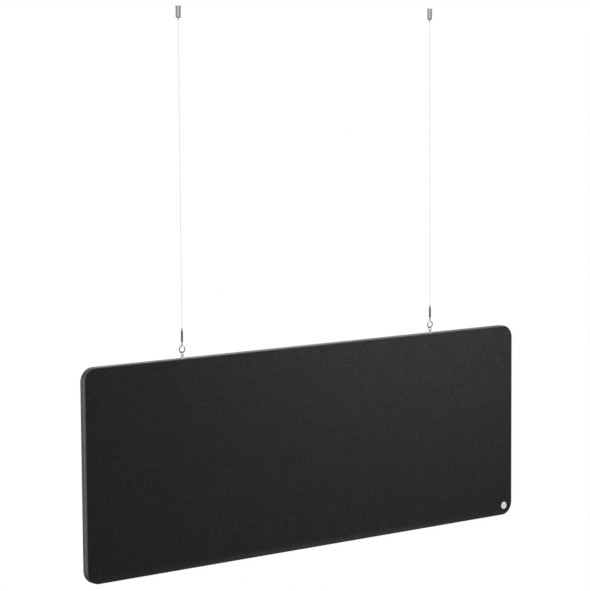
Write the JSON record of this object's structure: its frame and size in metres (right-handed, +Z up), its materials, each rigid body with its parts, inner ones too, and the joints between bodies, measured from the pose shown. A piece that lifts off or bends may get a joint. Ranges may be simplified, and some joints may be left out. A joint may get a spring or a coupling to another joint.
{
  "type": "hanging acoustic panel",
  "caption": "Long round-cornered cloth-covered sound-absorbing panel hung level from the ceiling on thin wires with grip fittings, snap hooks and eye bolts.",
  "frame": {"origin": "on the ceiling plane, midway between the screw holes of the two ceiling fittings", "axes": "+Z up into the ceiling, +X along the panel's length towards the badge end, -Y out of the front face"},
  "size_m": [1.6, 0.0238, 1.581],
  "materials": {
    "black_cloth": "matte woven cloth",
    "wadding": "matte polyester wadding",
    "mineral_wool": "matte pressed wool",
    "timber": "planed, unfinished",
    "dowel_wood": "turned, unfinished",
    "badge_metal": "satin",
    "satin_nickel": "satin nickel",
    "nozzle_nickel": "bright nickel",
    "brass": "turned",
    "steel_wire": "bright strand",
    "spring_steel": "drawn",
    "ball_steel": "polished",
    "terminal_steel": "dark satin",
    "hook_steel": "dull plating",
    "bright_zinc": "bright zinc"
  },
  "bodies": {
    "ceiling": {"ceiling_base_left": "satin_nickel", "ceiling_barrel_left": "satin_nickel", "spring_plug_left": "brass", "wire_tail_left": "steel_wire", "grip_spring_left": "spring_steel", "ceiling_base_right": "satin_nickel", "ceiling_barrel_right": "satin_nickel", "spring_plug_right": "brass", "wire_tail_right": "steel_wire", "grip_spring_right": "spring_steel"},
    "release_left": {"release_nozzle_left": "nozzle_nickel", "grip_balls_left": "ball_steel"},
    "release_right": {"release_nozzle_right": "nozzle_nickel", "grip_balls_right": "ball_steel"},
    "wire_bends": {"wire_bend_left": "steel_wire", "wire_bend_right": "steel_wire"},
    "hanger_left": {"wire_left": "steel_wire", "wire_terminal_left": "terminal_steel"},
    "hanger_right": {"wire_right": "steel_wire", "wire_terminal_right": "terminal_steel"},
    "hooks": {"hook_left": "hook_steel", "hook_right": "hook_steel"},
    "gate_left": {"hook_gate_left": "spring_steel"},
    "gate_right": {"hook_gate_right": "spring_steel"},
    "panel": {"front_cover": "black_cloth", "back_cover": "black_cloth", "front_wadding": "wadding", "back_wadding": "wadding", "acoustic_core": "mineral_wool", "left_stile": "timber", "right_stile": "timber", "top_rail": "timber", "bottom_rail": "timber", "frame_dowels": "dowel_wood", "badge": "badge_metal", "eye_bolt_left": "bright_zinc", "eye_washer_left": "bright_zinc", "eye_insert_left": "brass", "eye_bolt_right": "bright_zinc", "eye_washer_right": "bright_zinc", "eye_insert_right": "brass"}
  },
  "joints": [
    {"name": "release_left", "type": "slide", "parent": "ceiling", "child": "release_left", "axis": [0, 0, 1], "range_m": [0, 0.002], "stiffness_N_per_m": 200, "springref_m": -0.002, "deforming": ["grip_spring_left"]},
    {"name": "release_right", "type": "slide", "parent": "ceiling", "child": "release_right", "axis": [0, 0, 1], "range_m": [0, 0.002], "stiffness_N_per_m": 200, "springref_m": -0.002, "deforming": ["grip_spring_right"]},
    {"name": "swing", "type": "hinge", "parent": "ceiling", "child": "wire_bends", "pos_m": [-0.465, 0, -0.04135], "axis": [1, 0, 0], "range_deg": [-20, 20]},
    {"name": "sway", "type": "hinge", "parent": "wire_bends", "child": "hanger_left", "pos_m": [-0.465, 0, -0.04135], "axis": [0, 1, 0], "range_deg": [-8, 8]},
    {"name": "right_wire_sway", "type": "hinge", "parent": "wire_bends", "child": "hanger_right", "pos_m": [0.465, 0, -0.04135], "axis": [0, 1, 0], "range_deg": [-8, 8]},
    {"name": "hook_swivel", "type": "hinge", "parent": "hanger_left", "child": "hooks", "pos_m": [-0.465, 0, -0.93214], "axis": [0, 1, 0], "range_deg": [-8, 8]},
    {"name": "tilt", "type": "hinge", "parent": "hooks", "child": "panel", "pos_m": [-0.465, 0, -0.96545], "axis": [1, 0, 0], "range_deg": [-35, 35]},
    {"name": "gate_left", "type": "hinge", "parent": "hooks", "child": "gate_left", "pos_m": [-0.465, 0, -0.94114], "axis": [0, 1, 0], "range_deg": [0, 25], "stiffness_Nm_per_rad": 0.002, "springref_deg": -11.46},
    {"name": "gate_right", "type": "hinge", "parent": "hooks", "child": "gate_right", "pos_m": [0.465, 0, -0.94114], "axis": [0, -1, 0], "range_deg": [0, 25], "stiffness_Nm_per_rad": 0.002, "springref_deg": -11.46}
  ],
  "couplings": [
    {"joint": "right_wire_sway", "follows": "sway", "ratio": 1},
    {"joint": "hook_swivel", "follows": "sway", "ratio": -1}
  ]
}
